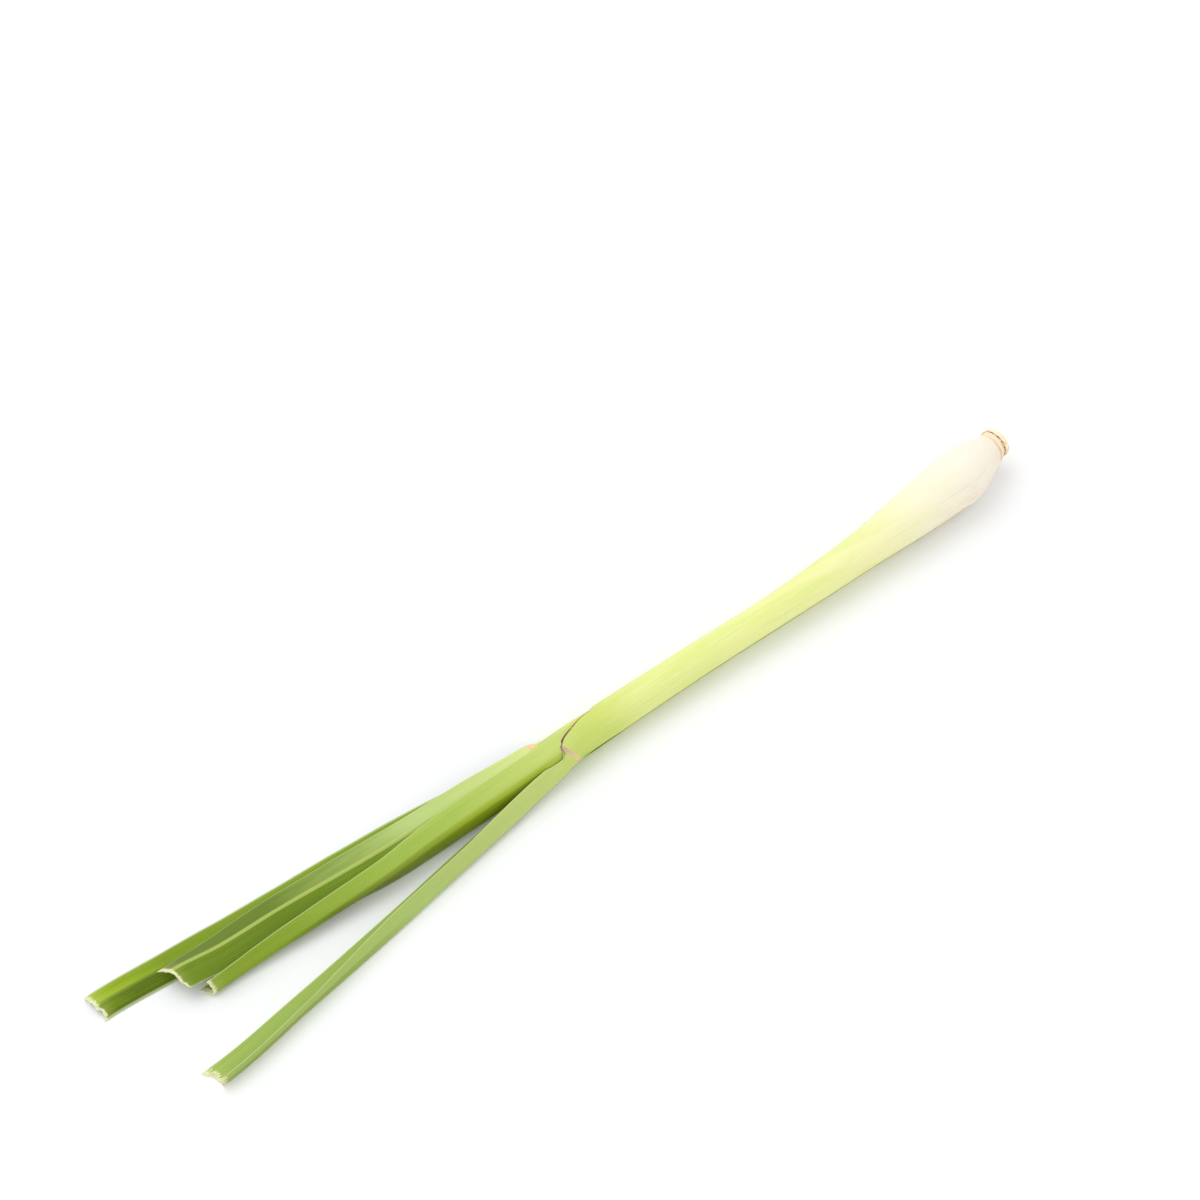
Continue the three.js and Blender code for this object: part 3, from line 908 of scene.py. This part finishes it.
def root_stub_material():
    shader = Shader("root_stub")
    along = shader.attribute("along")
    radius = shader.attribute("radius")
    position = shader.tree.nodes.new("ShaderNodeTexCoord").outputs["Object"]
    rough = shader.noise(position, 900, 4)
    broad = shader.noise(position, 260, 2)
    colour = shader.ramp(shader.math("DIVIDE", along, 6.0), [
        (0.0, (240, 216, 164)), (0.08, (244, 222, 170)), (0.25, (253, 240, 210)), (0.42, (250, 232, 194)),
        (0.48, (226, 186, 126)), (0.76, (251, 238, 208)),
    ])
    flecks = shader.remap(rough, 0.5, 0.62)
    groove = band(shader, along, 3.05, 0.26)
    groove = shader.times(groove, shader.remap(rough, 0.58, 0.44, 0.25, 1.0))
    colour = shader.mix(groove, colour, srgb(132, 84, 40))
    colour = shader.mix(shader.times(flecks, 0.5), colour, srgb(255, 248, 228))
    stain = shader.remap(broad, 0.5, 0.66, 0.0, 0.5)
    colour = shader.mix(stain, colour, srgb(236, 180, 108))
    ring_phase = shader.plus(shader.times(radius, 7.0), shader.times(broad, 6.0))
    rings = shader.math("SINE", ring_phase)
    face = shader.remap(along, 0.45, 0.3)
    ring_share = shader.times(shader.remap(rings, 0.2, 1.0), shader.times(face, 0.4))
    colour = shader.mix(ring_share, colour, srgb(196, 150, 96))
    shader.plug(shader.surface.inputs["Base Color"], colour)
    shader.surface.inputs["Roughness"].default_value = 0.75
    shader.bump(shader.plus(rough, shader.times(broad, 0.6)), STUB_BUMP_DEPTH)
    return shader.material


add_piece("root_stub_disc", root_stub_mesh(), root_stub_material(), "root_plate")


# ---- Floor, lights and camera ----------------------------------------------------------------------

FLOOR_REACH = 4.0
FLOOR_COLOUR = (0.925, 0.935, 0.95, 1)


def make_floor():
    mesh = bpy.data.meshes.new("floor")
    signs = ((-1, -1), (1, -1), (1, 1), (-1, 1))
    mesh.from_pydata([(x * FLOOR_REACH, y * FLOOR_REACH, 0) for x, y in signs], [], [(0, 1, 2, 3)])
    shader = Shader("floor_white")
    shader.surface.inputs["Base Color"].default_value = FLOOR_COLOUR
    shader.surface.inputs["Roughness"].default_value = 0.9
    mesh.materials.append(shader.material)
    floor = bpy.data.objects.new("floor", mesh)
    bpy.context.scene.collection.objects.link(floor)


# The camera looks down on the stalk from the -Y side of its blade end. The target is the point of the
# floor at the middle of the picture: its distance from the root end, and its distance towards +Y.
CAMERA_HEADING = Vector((0.655, 0.755, 0)).normalized()
CAMERA_ELEVATION = math.radians(50)
CAMERA_DISTANCE = 0.860
CAMERA_FOV = math.radians(28.84)
TARGET_ALONG = 162.2
TARGET_ACROSS = 47.3


def make_camera():
    target = Vector(((ROOT_X - TARGET_ALONG) * MM, (AXIS_Y + TARGET_ACROSS) * MM, 0))
    back = -CAMERA_HEADING * math.cos(CAMERA_ELEVATION) + Vector((0, 0, math.sin(CAMERA_ELEVATION)))
    camera_data = bpy.data.cameras.new("camera")
    camera_data.angle = CAMERA_FOV
    camera_data.clip_start = 0.01
    camera = bpy.data.objects.new("camera", camera_data)
    camera.location = target + back * CAMERA_DISTANCE
    camera.rotation_euler = (-back).to_track_quat("-Z", "Y").to_euler()
    bpy.context.scene.collection.objects.link(camera)
    bpy.context.scene.camera = camera
    return target


# One wide soft light, above the stalk and to its left as the camera sees it, and an even white world.
KEY_RIGHT = -0.6
KEY_AHEAD = 0.2
KEY_UP = 1.3
KEY_DISTANCE = 1.6
KEY_SIZE = 1.25
KEY_POWER = 6.2
WORLD_STRENGTH = 0.95


def make_key_light(target):
    camera_right = CAMERA_HEADING.cross(Vector((0, 0, 1)))
    direction = camera_right * KEY_RIGHT + CAMERA_HEADING * KEY_AHEAD + Vector((0, 0, KEY_UP))
    direction = direction.normalized()
    data = bpy.data.lights.new("key_light", "AREA")
    data.shape = "DISK"
    data.size = KEY_SIZE
    data.energy = KEY_POWER
    light = bpy.data.objects.new("key_light", data)
    light.location = target + direction * KEY_DISTANCE
    light.rotation_euler = (-direction).to_track_quat("-Z", "Y").to_euler()
    bpy.context.scene.collection.objects.link(light)


def make_world():
    world = bpy.data.worlds.new("studio")
    world.use_nodes = True
    background = world.node_tree.nodes["Background"]
    background.inputs["Color"].default_value = (1, 1, 1, 1)
    background.inputs["Strength"].default_value = WORLD_STRENGTH
    bpy.context.scene.world = world


make_floor()
make_key_light(make_camera())
make_world()
bpy.context.scene.view_settings.view_transform = "Standard"
